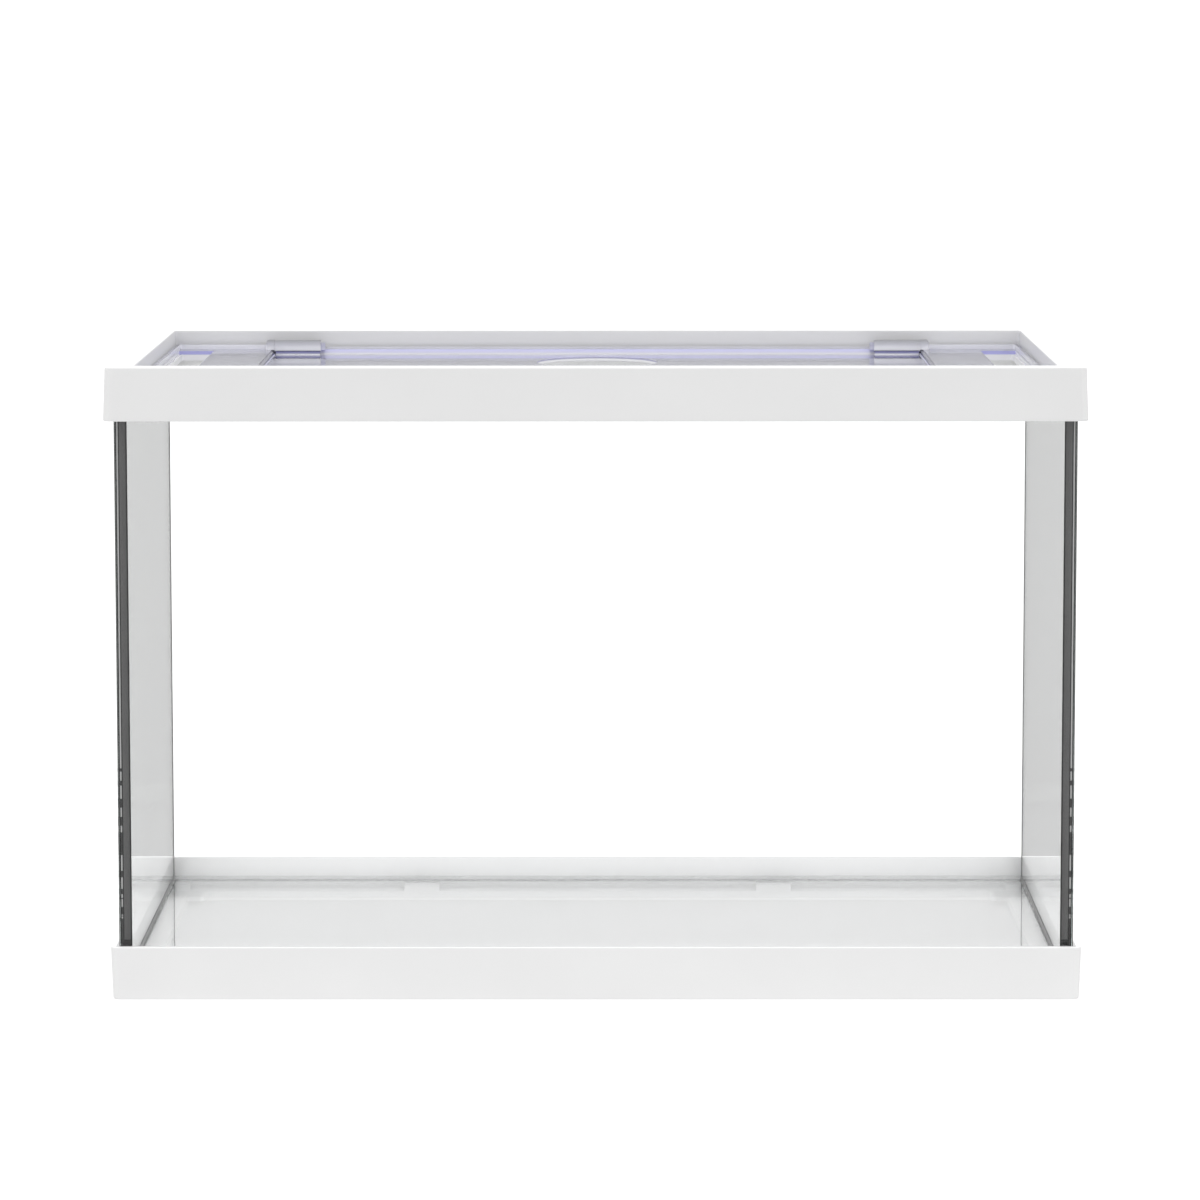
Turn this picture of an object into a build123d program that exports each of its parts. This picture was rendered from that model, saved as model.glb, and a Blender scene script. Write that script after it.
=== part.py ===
from build123d import *
import os

# Glass aquarium with a moulded frame round its top and its foot and a clear lid that drops into the rim.
# The tank stands on z = 0 with its middle over the origin: x runs along it, -y is its front.

# Glass box
tank_height = 267.0
glass_length = 401.6
glass_depth = 203.6
glass_thickness = 5.0
joint_thickness = 0.6
floor_fillet = 0.7
floor_fillet_hollow = 2.0
floor_underside = 8.0

# Fits and small clearances
skirt_clearance = 0.3
bedding_thickness = 0.5
lid_clearance = 0.8
flap_clearance = 0.4
knuckle_clearance = 0.3
pin_running_fit = 0.05
pin_press_fit = 0.01

# Top frame
top_overhang = 4.2
top_draft = 0.83
top_skirt_height = 22.4
top_flange = 2.4
side_rim_width = 11.5
front_rim_width = 10.5
rim_wall = 1.8
rim_wall_depth = 13.5
ledge_width = 3.3
ledge_thickness = 2.0
ledge_lip = 1.6
seat_height = 0.5

# Base frame
base_overhang = 3.45
base_draft = 0.75
base_skirt_height = 22.35
base_web = 2.0
base_web_top = 4.3
base_lip = 1.8
web_inside_side_glass = 7.8
web_inside_front_glass = 6.3
base_rib = 2.0
base_rib_pitch = 46.0
gusset_length = 7.5
gusset_depth = 14.0

# Blocks that carry the glass floor, and pads that carry the lid
support_length = 16.0
support_depth = 6.0
support_place = 81.0

# Corners and edges
frame_corner_radius = 3.0
opening_corner_radius = 1.5
lid_corner_radius = 1.0
frame_edge_radius = 0.6
lid_edge_radius = 0.4
glass_edge_radius = 0.4
edge_search = 0.1

# Lid tray
lid_depth = 8.3
lid_thickness = 1.65
lip_thickness = 1.6
lip_height = 2.0
low_lip_height = 1.0
recess_side_gap = 46.07
recess_rear_gap = 5.4
recess_front_gap = 8.0
recess_slope = 1.7
recess_drop = 2.1
recess_wall = 1.6
shelf_width = 4.0
shelf_thickness = 1.5
window_width = 16.27
window_rear_gap = 13.7
window_length = 90.0
window_corner_radius = 3.0

# Flap
flap_thickness = 1.65
feeding_hole_diameter = 53.5
feeding_hole_rear_gap = 48.3
tab_length = 42.0
tab_height = 4.0

# Hinge of the flap
hinge_rear_gap = 5.4
hinge_depth = 6.4
barrel_radius = 2.6
ear_foot_depth = 0.65
pin_radius = 1.1
pin_end_gap = 0.2
barrel_bay = 21.05
hump_overhang = 4.2
inner_ear_length = 1.95
outer_ear_length = 3.9

# Places that follow from the sizes above
top_length = glass_length + 2 * top_overhang
top_depth = glass_depth + 2 * top_overhang
rim_length = top_length - 2 * top_draft
rim_depth = top_depth - 2 * top_draft
opening_length = rim_length - 2 * side_rim_width
opening_depth = rim_depth - 2 * front_rim_width
opening_rear = opening_depth / 2
opening_front = -opening_depth / 2

pane_bottom = base_web_top + bedding_thickness
pane_top = tank_height - top_flange - bedding_thickness
inner_length = glass_length - 2 * glass_thickness
inner_depth = glass_depth - 2 * glass_thickness
floor_top = floor_underside + glass_thickness
base_opening_length = inner_length - 2 * web_inside_side_glass
base_opening_depth = inner_depth - 2 * web_inside_front_glass

lid_top = tank_height - lid_depth
lid_underside = lid_top - lid_thickness
ledge_top = lid_underside - seat_height
flap_top = lid_top - recess_drop
flap_underside = flap_top - flap_thickness
shelf_underside = flap_underside - shelf_thickness
recess_length = opening_length - 2 * recess_side_gap
recess_rear = opening_rear - recess_rear_gap
recess_front = opening_front + recess_front_gap
recess_depth = recess_rear - recess_front
recess_middle = (recess_rear + recess_front) / 2
flap_rear = recess_rear - flap_clearance
flap_front = recess_front + flap_clearance
hinge_y = opening_rear - hinge_rear_gap
hinge_z = tank_height - hinge_depth
hump_outer_place = recess_length / 2 + hump_overhang
hump_inner_place = hump_outer_place - outer_ear_length - barrel_bay - inner_ear_length


def slab(length, depth, radius, bottom, top, middle_y=0.0):
    """An upright block with rounded corners, centred on x = 0."""
    outline = RectangleRounded(length, depth, radius)
    return Pos(0, middle_y, bottom) * extrude(outline, top - bottom)


def block(x0, x1, y0, y1, z0, z1):
    """A plain box between two corners."""
    return Pos((x0 + x1) / 2, (y0 + y1) / 2, (z0 + z1) / 2) * Box(x1 - x0, y1 - y0, z1 - z0)


def tapered_slab(lower, upper, radius, bottom, top, middle_y=0.0):
    """A block with rounded corners whose length and depth change evenly from its bottom to its top."""
    lower_outline = Pos(0, middle_y, bottom) * RectangleRounded(*lower, radius)
    upper_outline = Pos(0, middle_y, top) * RectangleRounded(*upper, radius)
    return loft([lower_outline, upper_outline], ruled=True)


def rod(radius, x0, x1):
    """A round bar along the hinge line."""
    bar = Cylinder(radius, x1 - x0, rotation=(0, 90, 0))
    return Pos((x0 + x1) / 2, hinge_y, hinge_z) * bar


def level_edges(shape, height):
    """The edges of a shape that lie flat at one height."""
    return shape.edges().filter_by_position(Axis.Z, height - edge_search, height + edge_search)


def outer_edges(shape, height, length):
    """The level edges at one height that run round the outside of a frame of the given length."""
    reach = length / 2 - frame_corner_radius - edge_search
    return [e for e in level_edges(shape, height) if abs(e.center().X) > reach or e.length > length / 3]


# Glass panes: the front and back panes cover the ends of the side panes.
def upright_pane(length, depth, x, y):
    pane = block(x - length / 2, x + length / 2, y - depth / 2, y + depth / 2, pane_bottom, pane_top)
    return chamfer(pane.edges(), glass_edge_radius)


def floor_pane():
    length = inner_length - 2 * joint_thickness
    depth = inner_depth - 2 * joint_thickness
    pane = block(-length / 2, length / 2, -depth / 2, depth / 2, floor_underside, floor_top)
    return chamfer(pane.edges(), glass_edge_radius)


# Sealant joints: a thin layer in each upright corner and a small hollow bead round the floor.
def corner_joint(side, end):
    x = side * (glass_length / 2 - glass_thickness / 2)
    y = end * (inner_depth / 2 - joint_thickness / 2)
    half = glass_thickness / 2
    thin = joint_thickness / 2
    return block(x - half, x + half, y - thin, y + thin, pane_bottom, pane_top)


def bead_profile():
    """The section of a floor bead: the joint beside the glass, with a hollow fillet on top of it."""
    leg = joint_thickness + floor_fillet
    crown = floor_top + floor_fillet
    with BuildSketch() as profile:
        with BuildLine():
            Polyline((0, crown), (0, floor_underside), (joint_thickness, floor_underside))
            Line((joint_thickness, floor_underside), (joint_thickness, floor_top))
            Line((joint_thickness, floor_top), (leg, floor_top))
            RadiusArc((leg, floor_top), (0, crown), floor_fillet_hollow)
        make_face()
    return profile.sketch


def floor_bead(run, reach, turn):
    """One bead along a wall that stands `reach` from the middle of the tank, `turn` degrees round it."""
    profile = Plane((-reach, run / 2, 0), x_dir=(1, 0, 0), z_dir=(0, -1, 0)) * bead_profile()
    return Rot(0, 0, turn) * extrude(profile, run)


def floor_beads():
    front = floor_bead(inner_length, inner_depth / 2, 90)
    back = floor_bead(inner_length, inner_depth / 2, -90)
    left = floor_bead(inner_depth, inner_length / 2, 0) - front - back
    right = floor_bead(inner_depth, inner_length / 2, 180) - front - back
    return {"front": front, "back": back, "left": left, "right": right}


# Bedding: the layers of sealant that hold the frames to the ends of the glass.
def bedding(bottom):
    outer = block(-glass_length / 2, glass_length / 2, -glass_depth / 2, glass_depth / 2,
                  bottom, bottom + bedding_thickness)
    inner = block(-inner_length / 2, inner_length / 2, -inner_depth / 2, inner_depth / 2,
                  bottom, bottom + bedding_thickness)
    return outer - inner


# Top frame: a drafted skirt outside the glass, a rim over it, and an inner wall with the lid's ledge.
def seat_pads():
    """Low pads on the ledge, where the lid touches down."""
    pads = []
    half = support_length / 2
    for side in (-1, 1):
        for end in (-1, 1):
            x = side * support_place
            y0 = end * (opening_depth / 2 - ledge_width)
            y1 = end * opening_depth / 2
            pads.append(block(x - half, x + half, min(y0, y1), max(y0, y1), ledge_top, lid_underside))
        x0 = side * (opening_length / 2 - ledge_width)
        x1 = side * opening_length / 2
        pads.append(block(min(x0, x1), max(x0, x1), -half, half, ledge_top, lid_underside))
    return pads


def top_frame():
    skirt_bottom = tank_height - top_skirt_height
    flange_bottom = tank_height - top_flange
    wall_bottom = tank_height - rim_wall_depth
    skirt = tapered_slab((top_length, top_depth), (rim_length, rim_depth), frame_corner_radius,
                         skirt_bottom, tank_height)
    skirt = fillet(outer_edges(skirt, tank_height, rim_length), frame_edge_radius)
    skirt = fillet(outer_edges(skirt, skirt_bottom, top_length), frame_edge_radius)
    channel_length = glass_length + 2 * skirt_clearance
    channel_depth = glass_depth + 2 * skirt_clearance
    channel = block(-channel_length / 2, channel_length / 2, -channel_depth / 2, channel_depth / 2,
                    skirt_bottom, flange_bottom)
    wall = slab(opening_length + 2 * rim_wall, opening_depth + 2 * rim_wall, opening_corner_radius,
                wall_bottom, tank_height - top_flange / 2)
    lip_length = opening_length - 2 * (ledge_width - ledge_lip)
    lip_depth = opening_depth - 2 * (ledge_width - ledge_lip)
    well = slab(opening_length, opening_depth, opening_corner_radius, ledge_top, tank_height)
    mouth = slab(opening_length - 2 * ledge_width, opening_depth - 2 * ledge_width,
                 opening_corner_radius, wall_bottom, tank_height)
    underside = slab(opening_length, opening_depth, opening_corner_radius,
                     wall_bottom, ledge_top - ledge_thickness)
    underside -= slab(lip_length, lip_depth, opening_corner_radius, wall_bottom, ledge_top)
    frame = skirt - channel + wall - well - mouth - underside
    frame = fillet(rim_edges(frame), frame_edge_radius)
    for pad in seat_pads():
        frame += pad
    return frame


def rim_edges(frame):
    """The edges round the mouth of the rim."""
    half_length = opening_length / 2 + edge_search
    half_depth = opening_depth / 2 + edge_search
    edges = level_edges(frame, tank_height)
    return [e for e in edges if abs(e.center().X) < half_length and abs(e.center().Y) < half_depth]


# Base frame: the skirt stands round the foot of the glass, which rests on a hollow web.
def floor_supports():
    """Blocks on the web, under the edge of the glass floor."""
    blocks = []
    half = support_length / 2
    edge = base_opening_depth / 2
    side_edge = base_opening_length / 2
    for side in (-1, 1):
        for end in (-1, 1):
            y0, y1 = sorted((end * edge, end * (edge + support_depth)))
            x = side * support_place
            blocks.append(block(x - half, x + half, y0, y1, base_web_top, floor_underside))
            x0, x1 = sorted((side * side_edge, side * (side_edge + support_depth)))
            blocks.append(block(x0, x1, y0, y1, base_web_top, floor_underside))
    return blocks


def corner_gussets():
    """Small plates that widen the web in its four inner corners."""
    x0 = base_opening_length / 2 - gusset_length
    y0 = base_opening_depth / 2 - gusset_depth
    overlap = base_lip
    plate = block(x0, base_opening_length / 2 + overlap, y0, base_opening_depth / 2 + overlap,
                  base_web_top - base_web, base_web_top)
    left = mirror(plate, Plane.YZ)
    return [plate, left, mirror(plate, Plane.XZ), mirror(left, Plane.XZ)]


def underside_ribs(outer_length, outer_depth):
    """Thin cross walls in the hollow under the web."""
    top = base_web_top - base_web / 2
    ribs = []
    half = base_rib / 2
    along = int(base_opening_length / 2 / base_rib_pitch)
    across = int(base_opening_depth / 2 / base_rib_pitch)
    for end in (-1, 1):
        y0, y1 = sorted((end * (base_opening_depth / 2 + base_lip / 2), end * (outer_depth / 2 - base_lip)))
        for n in range(-along, along + 1):
            x = n * base_rib_pitch
            ribs.append(block(x - half, x + half, y0, y1, 0, top))
        x0, x1 = sorted((end * (base_opening_length / 2 + base_lip / 2), end * (outer_length / 2 - base_lip)))
        for n in range(-across, across + 1):
            y = n * base_rib_pitch
            ribs.append(block(x0, x1, y - half, y + half, 0, top))
    return ribs


def base_frame():
    wide = (glass_length + 2 * base_overhang, glass_depth + 2 * base_overhang)
    narrow = (wide[0] - 2 * base_draft, wide[1] - 2 * base_draft)
    skirt = tapered_slab(narrow, wide, frame_corner_radius, 0, base_skirt_height)
    skirt = fillet(outer_edges(skirt, base_skirt_height, wide[0]), frame_edge_radius)
    skirt = fillet(outer_edges(skirt, 0, narrow[0]), frame_edge_radius)
    channel_length = glass_length + 2 * skirt_clearance
    channel_depth = glass_depth + 2 * skirt_clearance
    channel = block(-channel_length / 2, channel_length / 2, -channel_depth / 2, channel_depth / 2,
                    base_web_top, base_skirt_height)
    opening = slab(base_opening_length, base_opening_depth, opening_corner_radius, 0, base_web_top)
    hollow = slab(channel_length, channel_depth, opening_corner_radius, 0, base_web_top - base_web)
    hollow -= slab(base_opening_length + 2 * base_lip, base_opening_depth + 2 * base_lip,
                   opening_corner_radius, 0, base_web_top)
    frame = skirt - channel - opening - hollow
    for rib in underside_ribs(*narrow):
        frame += rib
    for gusset in corner_gussets():
        frame += gusset
    for support in floor_supports():
        frame += support
    return frame


# Lid tray: a clear plate with a lip round it, a sunken opening for the flap and a window in each side.
def hinge_ears():
    """The four lugs that hold the ends of the hinge pins."""
    ears = []
    foot = lid_top - ear_foot_depth
    for side in (-1, 1):
        for place, length in ((hump_inner_place, inner_ear_length),
                              (hump_outer_place - outer_ear_length, outer_ear_length)):
            x0, x1 = sorted((side * place, side * (place + length)))
            ears.append(rod(barrel_radius, x0, x1))
            ears.append(block(x0, x1, hinge_y - barrel_radius, hinge_y + barrel_radius, foot, hinge_z))
    return ears


def lid_windows():
    """Openings in the sides of the tray for a filter pipe and leads."""
    x1 = opening_length / 2 - lid_clearance - lip_thickness
    x0 = x1 - window_width
    rear = opening_rear - window_rear_gap
    outline = RectangleRounded(x1 - x0, window_length, window_corner_radius)
    right = Pos((x0 + x1) / 2, rear - window_length / 2, lid_underside) * extrude(outline, lid_thickness)
    return [right, mirror(right, Plane.YZ)]


def barrel_places(side):
    """Where a hinge barrel starts and ends along x, between its two ears."""
    inner = hump_inner_place + inner_ear_length
    outer = hump_outer_place - outer_ear_length
    return sorted((side * inner, side * outer))


def lid_tray():
    length = opening_length - 2 * lid_clearance
    depth = opening_depth - 2 * lid_clearance
    tray = slab(length, depth, lid_corner_radius, lid_underside, lid_top + lip_height)
    tray -= slab(length - 2 * lip_thickness, depth - 2 * lip_thickness, lid_corner_radius,
                 lid_top, lid_top + lip_height)
    low_rear = block(-hump_inner_place, hump_inner_place, depth / 2 - 2 * lip_thickness, depth / 2,
                     lid_top + low_lip_height, lid_top + lip_height)
    tray -= low_rear
    well = slab(recess_length + 2 * recess_wall, recess_depth + 2 * recess_wall,
                lid_corner_radius + recess_wall, shelf_underside, lid_top - recess_drop / 2, recess_middle)
    tray += well
    floor = (recess_length, recess_depth)
    rim = (recess_length + 2 * recess_slope, recess_depth + 2 * recess_slope)
    tray -= tapered_slab(floor, rim, lid_corner_radius, flap_top, lid_top, recess_middle)
    tray -= slab(*floor, lid_corner_radius, flap_underside, flap_top, recess_middle)
    shelf_opening = (recess_length - 2 * shelf_width, recess_depth - shelf_width)
    tray -= slab(*shelf_opening, lid_corner_radius, shelf_underside, flap_underside,
                 recess_middle + shelf_width / 2)
    for side in (-1, 1):
        x0, x1 = barrel_places(side)
        tray -= rod(barrel_radius + knuckle_clearance, x0, x1)
    for ear in hinge_ears():
        tray += ear
    for side in (-1, 1):
        x0, x1 = sorted((side * (hump_inner_place + pin_end_gap), side * (hump_outer_place - pin_end_gap)))
        tray -= rod(pin_radius + pin_press_fit, x0, x1)
    for window in lid_windows():
        tray -= window
    return tray


# Flap: a clear plate with the round feeding hole, a finger tab at its front and two hinge barrels.
def feeding_flap():
    half = recess_length / 2 - flap_clearance
    plate = slab(2 * half, flap_rear - flap_front, lid_corner_radius, flap_underside, flap_top,
                 (flap_rear + flap_front) / 2)
    tab = block(-tab_length / 2, tab_length / 2, flap_front, flap_front + flap_thickness,
                flap_underside, flap_top + tab_height)
    flap = plate + fillet(tab.edges().group_by(Axis.Z)[-1], lid_edge_radius)
    for side in (-1, 1):
        x0, x1 = barrel_places(side)
        x0 += knuckle_clearance
        x1 -= knuckle_clearance
        flap += rod(barrel_radius, x0, x1)
        flap += block(max(x0, -half), min(x1, half), flap_rear - barrel_radius, flap_rear,
                      flap_underside, hinge_z)
        flap -= rod(pin_radius + pin_running_fit, x0, x1)
    hole_y = opening_rear - feeding_hole_rear_gap
    flap -= Pos(0, hole_y, flap_underside) * extrude(Circle(feeding_hole_diameter / 2), flap_thickness)
    return flap


# Hinge pins: one short round pin through each barrel.
def hinge_pin(side):
    x0, x1 = sorted((side * (hump_inner_place + pin_end_gap), side * (hump_outer_place - pin_end_gap)))
    return rod(pin_radius, x0, x1)


def all_nodes():
    side_run = inner_depth - 2 * joint_thickness
    side_x = (glass_length - glass_thickness) / 2
    end_y = (glass_depth - glass_thickness) / 2
    nodes = {
        "front_pane": upright_pane(glass_length, glass_thickness, 0, -end_y),
        "back_pane": upright_pane(glass_length, glass_thickness, 0, end_y),
        "left_pane": upright_pane(glass_thickness, side_run, -side_x, 0),
        "right_pane": upright_pane(glass_thickness, side_run, side_x, 0),
        "floor_pane": floor_pane(),
        "front_left_joint": corner_joint(-1, -1),
        "front_right_joint": corner_joint(1, -1),
        "back_left_joint": corner_joint(-1, 1),
        "back_right_joint": corner_joint(1, 1),
        "top_bedding": bedding(pane_top),
        "base_bedding": bedding(base_web_top),
        "top_frame": top_frame(),
        "base_frame": base_frame(),
        "lid_tray": lid_tray(),
        "feeding_flap": feeding_flap(),
        "left_hinge_pin": hinge_pin(-1),
        "right_hinge_pin": hinge_pin(1),
    }
    for place, bead in floor_beads().items():
        nodes[f"{place}_floor_bead"] = bead
    return nodes


os.makedirs("parts", exist_ok=True)
for name, shape in all_nodes().items():
    export_step(shape, f"parts/{name}.step")
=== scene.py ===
import math

import bmesh
import bpy
from mathutils import Matrix, Vector, noise


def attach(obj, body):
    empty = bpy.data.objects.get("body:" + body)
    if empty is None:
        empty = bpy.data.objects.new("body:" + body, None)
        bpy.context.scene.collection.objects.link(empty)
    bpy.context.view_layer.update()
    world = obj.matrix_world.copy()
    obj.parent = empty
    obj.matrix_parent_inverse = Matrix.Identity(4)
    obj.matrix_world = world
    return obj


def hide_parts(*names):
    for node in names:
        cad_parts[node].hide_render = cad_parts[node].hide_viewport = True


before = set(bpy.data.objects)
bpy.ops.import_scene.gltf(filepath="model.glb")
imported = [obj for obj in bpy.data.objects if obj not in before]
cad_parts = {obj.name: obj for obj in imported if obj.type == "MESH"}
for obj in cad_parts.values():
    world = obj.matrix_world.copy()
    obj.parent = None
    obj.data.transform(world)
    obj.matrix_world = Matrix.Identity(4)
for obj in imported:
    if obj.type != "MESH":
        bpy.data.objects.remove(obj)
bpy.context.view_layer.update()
scene = bpy.context.scene
mm = 0.001


# Base frame: a white moulded tray that the glass stands in, with a drafted skirt and a ribbed web.
# It is injection moulded in one shot of white styrene plastic and left with a fine satin grain.
# The top frame has the same finish. Its tone changes by place, to follow the shading in the photo.
base_lip_level, top_skirt_foot = 22.2 * mm, 244.0 * mm
channel_half_length, channel_half_depth = 201.6 * mm, 102.3 * mm
pane_inside = 96.9 * mm
opening_half_depth = 90.2 * mm
end_web_start = 182.0 * mm
well_half_length, well_half_depth, well_foot = 193.2 * mm, 95.2 * mm, 256.8 * mm
lip_half_length, lip_front = 202.0 * mm, -103.9 * mm


def link(tree, source, target):
    tree.links.new(source, target)


def add_node(tree, kind, **values):
    node = tree.nodes.new(kind)
    for name, value in values.items():
        setattr(node, name, value)
    return node


def maths(tree, operation, first, second=None):
    node = add_node(tree, "ShaderNodeMath", operation=operation)
    for socket, value in zip(node.inputs, (first, second)):
        if isinstance(value, (int, float)):
            socket.default_value = value
        elif value is not None:
            link(tree, value, socket)
    return node.outputs[0]


def moulded_grain_group():
    """A fine satin grain with faint flow marks: a factor for the colour and a height for a bump."""
    group = bpy.data.node_groups.new("moulded_grain", "ShaderNodeTree")
    face = group.interface
    face.new_socket("Grain Scale", in_out="INPUT", socket_type="NodeSocketFloat")
    face.new_socket("Flow Scale", in_out="INPUT", socket_type="NodeSocketFloat")
    face.new_socket("Flow Share", in_out="INPUT", socket_type="NodeSocketFloat")
    face.new_socket("Tone", in_out="OUTPUT", socket_type="NodeSocketFloat")
    face.new_socket("Height", in_out="OUTPUT", socket_type="NodeSocketFloat")
    given, result = add_node(group, "NodeGroupInput"), add_node(group, "NodeGroupOutput")
    place = add_node(group, "ShaderNodeTexCoord").outputs["Object"]
    grain = add_node(group, "ShaderNodeTexNoise", noise_dimensions="3D")
    grain.inputs["Detail"].default_value = 2.0
    flow = add_node(group, "ShaderNodeTexNoise", noise_dimensions="3D")
    flow.inputs["Detail"].default_value = 3.0
    for texture, size in ((grain, "Grain Scale"), (flow, "Flow Scale")):
        link(group, place, texture.inputs["Vector"])
        link(group, given.outputs[size], texture.inputs["Scale"])
    blend = add_node(group, "ShaderNodeMix", data_type="FLOAT")
    link(group, given.outputs["Flow Share"], blend.inputs["Factor"])
    link(group, grain.outputs["Fac"], blend.inputs["A"])
    link(group, flow.outputs["Fac"], blend.inputs["B"])
    link(group, blend.outputs["Result"], result.inputs["Tone"])
    link(group, grain.outputs["Fac"], result.inputs["Height"])
    return group


moulded_grain = moulded_grain_group()


def place_group(tree, group, **values):
    node = add_node(tree, "ShaderNodeGroup", node_tree=group)
    for name, value in values.items():
        node.inputs[name.replace("_", " ")].default_value = value
    return node


def new_material(name, roughness, ior=1.5):
    """A material with one Principled shader, and the tree and shader to work on."""
    material = bpy.data.materials.new(name)
    material.use_nodes = True
    tree = material.node_tree
    shader = tree.nodes["Principled BSDF"]
    shader.inputs["Roughness"].default_value = roughness
    shader.inputs["IOR"].default_value = ior
    return material, tree, shader


def axes_of(tree, kind):
    """The x, y and z of a texture coordinate, such as the place ("Object") or the way a face looks."""
    parts = add_node(tree, "ShaderNodeSeparateXYZ")
    link(tree, add_node(tree, "ShaderNodeTexCoord").outputs[kind], parts.inputs[0])
    return parts.outputs


def colour_ramp(tree, factor, stops):
    """A colour that runs through stops, each a position and a colour."""
    ramp = add_node(tree, "ShaderNodeValToRGB")
    while len(ramp.color_ramp.elements) < len(stops):
        ramp.color_ramp.elements.new(0.5)
    for element, (position, colour) in zip(ramp.color_ramp.elements, stops):
        element.position = position
        element.color = (*colour, 1)
    link(tree, factor, ramp.inputs["Fac"])
    return ramp.outputs["Color"]


def two_tone(tree, factor, low, high):
    """A colour between two tones, which leaves out the rare ends of a noise."""
    return colour_ramp(tree, factor, ((0.3, low), (0.7, high)))


def grey(tone):
    return tone, tone, tone


def add_bump(tree, shader, height, depth, strength):
    bump = add_node(tree, "ShaderNodeBump")
    bump.inputs["Distance"].default_value = depth
    bump.inputs["Strength"].default_value = strength
    link(tree, height, bump.inputs["Height"])
    link(tree, bump.outputs["Normal"], shader.inputs["Normal"])


def all_of(tree, first, *others):
    """1 where every one of the masks is 1."""
    for other in others:
        first = maths(tree, "MULTIPLY", first, other)
    return first


def below(tree, value, high):
    """1 where a coordinate lies nearer the middle than a limit, on either side of it."""
    return maths(tree, "LESS_THAN", maths(tree, "ABSOLUTE", value), high)


def within(tree, value, low, high):
    """1 where the size of a coordinate lies between two limits."""
    over = maths(tree, "GREATER_THAN", maths(tree, "ABSOLUTE", value), low)
    return all_of(tree, over, below(tree, value, high))


def over_part(tree, colour, mask, tone):
    """Lays a plain grey over the part of a colour that a mask picks out."""
    blend = add_node(tree, "ShaderNodeMix", data_type="RGBA")
    link(tree, mask, blend.inputs["Factor"])
    link(tree, colour, blend.inputs["A"])
    blend.inputs["B"].default_value = (*grey(tone), 1)
    return blend.outputs["Result"]


def white_frame_plastic(name, low, high):
    """Satin white. The tones of channels, webs, rims and lips are set to match the photo's shading."""
    material, tree, shader = new_material(name, roughness=0.34)
    grain = place_group(tree, moulded_grain, Grain_Scale=2600.0, Flow_Scale=24.0, Flow_Share=0.6)
    colour = two_tone(tree, grain.outputs["Tone"], grey(low), grey(high))
    x, y, z = axes_of(tree, "Object")
    level = maths(tree, "GREATER_THAN", axes_of(tree, "Normal")["Z"], 0.85)
    between_ends = below(tree, x, channel_half_length)
    high_up = maths(tree, "GREATER_THAN", z, top_skirt_foot)
    in_base = all_of(tree, maths(tree, "LESS_THAN", z, base_lip_level), between_ends)
    in_top = all_of(tree, high_up, between_ends)
    base_channel = all_of(tree, in_base, within(tree, y, pane_inside, channel_half_depth))
    top_channel = all_of(tree, in_top, within(tree, y, well_half_depth, channel_half_depth))
    web = all_of(tree, in_base, within(tree, y, opening_half_depth, pane_inside))
    end_webs = all_of(tree, in_base, within(tree, x, end_web_start, channel_half_length),
                      below(tree, y, opening_half_depth))
    well = all_of(tree, below(tree, x, well_half_length), below(tree, y, well_half_depth),
                  maths(tree, "GREATER_THAN", z, well_foot))
    rims = all_of(tree, level, high_up)
    lip = all_of(tree, level, within(tree, z, base_lip_level, top_skirt_foot))
    front_lip = all_of(tree, lip, below(tree, x, lip_half_length),
                       maths(tree, "LESS_THAN", y, -opening_half_depth),
                       maths(tree, "GREATER_THAN", y, lip_front))
    channels = maths(tree, "MAXIMUM", base_channel, top_channel)
    # Painted light on the channels, rims and lip tops; painted shade in the well, on the webs, end webs and
    # front lip.
    for mask, tone in ((channels, 0.98), (well, 0.68), (web, 0.72), (end_webs, 0.56),
                       (rims, 0.93), (lip, 0.98), (front_lip, 0.60)):
        colour = over_part(tree, colour, mask, tone)
    link(tree, colour, shader.inputs["Base Color"])
    add_bump(tree, shader, grain.outputs["Height"], depth=0.004 * mm, strength=0.5)
    return material


def dress(name, material):
    """Gives a CAD node its finish."""
    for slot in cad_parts[name].material_slots:
        slot.material = material


frame_plastic = white_frame_plastic("white_frame_plastic", 0.75, 0.78)
dress("base_frame", frame_plastic)


# Base bedding: a thin squeezed layer of clear silicone on the web, which the glass is set down into.
# It cures a little inside the edges of the panes, with softly rounded sides.
glass_half_length = 200.8 * mm
glass_half_depth = 101.8 * mm
glass_thickness = 5.0 * mm
inner_half_length = glass_half_length - glass_thickness
inner_half_depth = glass_half_depth - glass_thickness
air_gap = 0.02 * mm
bedding_radius = 0.15 * mm


def clear_sealant():
    material, tree, shader = new_material("clear_sealant", roughness=0.3, ior=1.41)
    lumps = place_group(tree, moulded_grain, Grain_Scale=700.0, Flow_Scale=90.0, Flow_Share=0.6)
    colour = two_tone(tree, lumps.outputs["Tone"], (0.80, 0.82, 0.82), (0.92, 0.93, 0.93))
    link(tree, colour, shader.inputs["Base Color"])
    shader.inputs["Alpha"].default_value = 0.18
    return material


def moved_verts(extruded):
    """The new vertices that an extrude gives back."""
    return [item for item in extruded["geom"] if isinstance(item, bmesh.types.BMVert)]


def finish_piece(shape, name, material, body, slot_name, *nodes):
    """Turns a bmesh into a finished piece that rides on a body and stands for some CAD nodes."""
    bmesh.ops.remove_doubles(shape, verts=shape.verts, dist=0.001 * mm)
    bmesh.ops.recalc_face_normals(shape, faces=shape.faces)
    mesh = bpy.data.meshes.new(name)
    shape.to_mesh(mesh)
    shape.free()
    mesh.materials.append(material)
    piece = bpy.data.objects.new(name, mesh)
    scene.collection.objects.link(piece)
    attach(piece, body)
    if nodes:
        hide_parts(*nodes)
    return piece


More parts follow.
